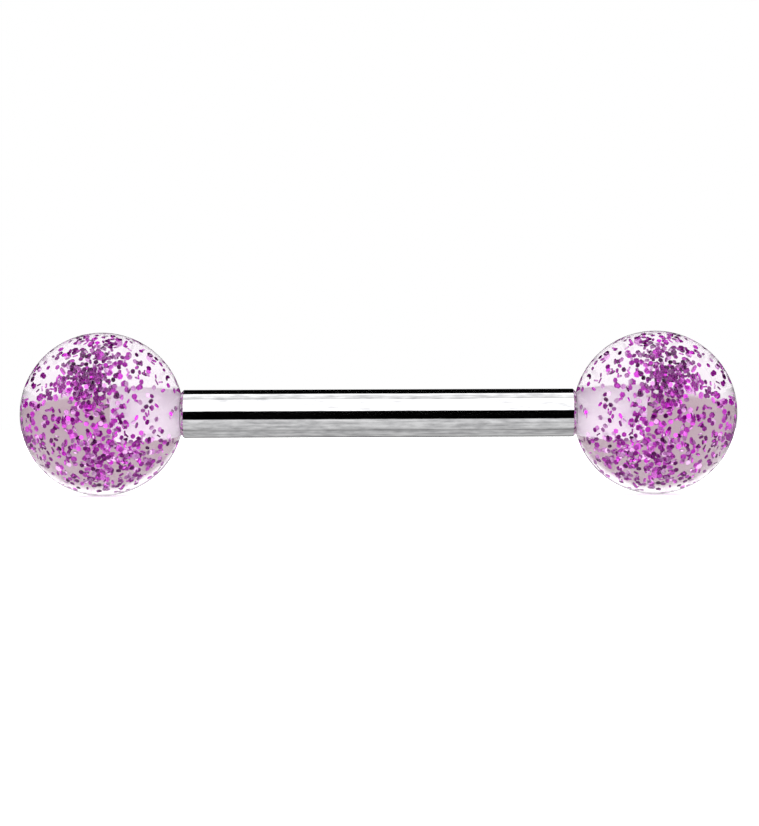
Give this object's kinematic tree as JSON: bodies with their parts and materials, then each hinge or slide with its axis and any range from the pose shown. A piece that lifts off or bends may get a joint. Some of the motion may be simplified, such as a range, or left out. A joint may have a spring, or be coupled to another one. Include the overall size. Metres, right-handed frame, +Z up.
{
  "type": "body piercing barbell",
  "caption": "Straight body-piercing barbell: a polished steel bar with a clear ball full of purple glitter screwed onto each threaded end.",
  "frame": {"origin": "middle of the bar, on its axis", "axes": "+X along the bar towards the right ball, +Z up"},
  "size_m": [0.0176, 0.004, 0.004],
  "materials": {
    "polished_steel": "polished surgical steel with faint lengthwise drawing lines",
    "clear_acrylic": "clear cast acrylic with a faint lavender tint, polished",
    "tapped_acrylic": "the same acrylic, milky where the thread was tapped",
    "purple_glitter": "metallised purple hexagonal flakes"
  },
  "bodies": {
    "bar": {"bar": "polished_steel"},
    "left_travel": {"left_ball_bore_wall": "tapped_acrylic"},
    "left_ball": {"left_ball": "clear_acrylic", "left_ball_glitter": "purple_glitter"},
    "right_travel": {"right_ball_bore_wall": "tapped_acrylic"},
    "right_ball": {"right_ball": "clear_acrylic", "right_ball_glitter": "purple_glitter"}
  },
  "joints": [
    {"name": "left_ball_travel", "type": "slide", "parent": "bar", "child": "left_travel", "axis": [-1, 0, 0], "range_m": [0, 0.00169]},
    {"name": "left_ball_unscrew", "type": "hinge", "parent": "left_travel", "child": "left_ball", "pos_m": [-0.00677, 0, 0], "axis": [-1, 0, 0], "range_deg": [0, 2700]},
    {"name": "right_ball_travel", "type": "slide", "parent": "bar", "child": "right_travel", "axis": [1, 0, 0], "range_m": [0, 0.00169]},
    {"name": "right_ball_unscrew", "type": "hinge", "parent": "right_travel", "child": "right_ball", "pos_m": [0.00677, 0, 0], "axis": [1, 0, 0], "range_deg": [0, 2700]}
  ],
  "couplings": [
    {"joint": "left_ball_unscrew", "follows": "left_ball_travel", "rad_per_m": 27925},
    {"joint": "right_ball_unscrew", "follows": "right_ball_travel", "rad_per_m": 27925}
  ]
}
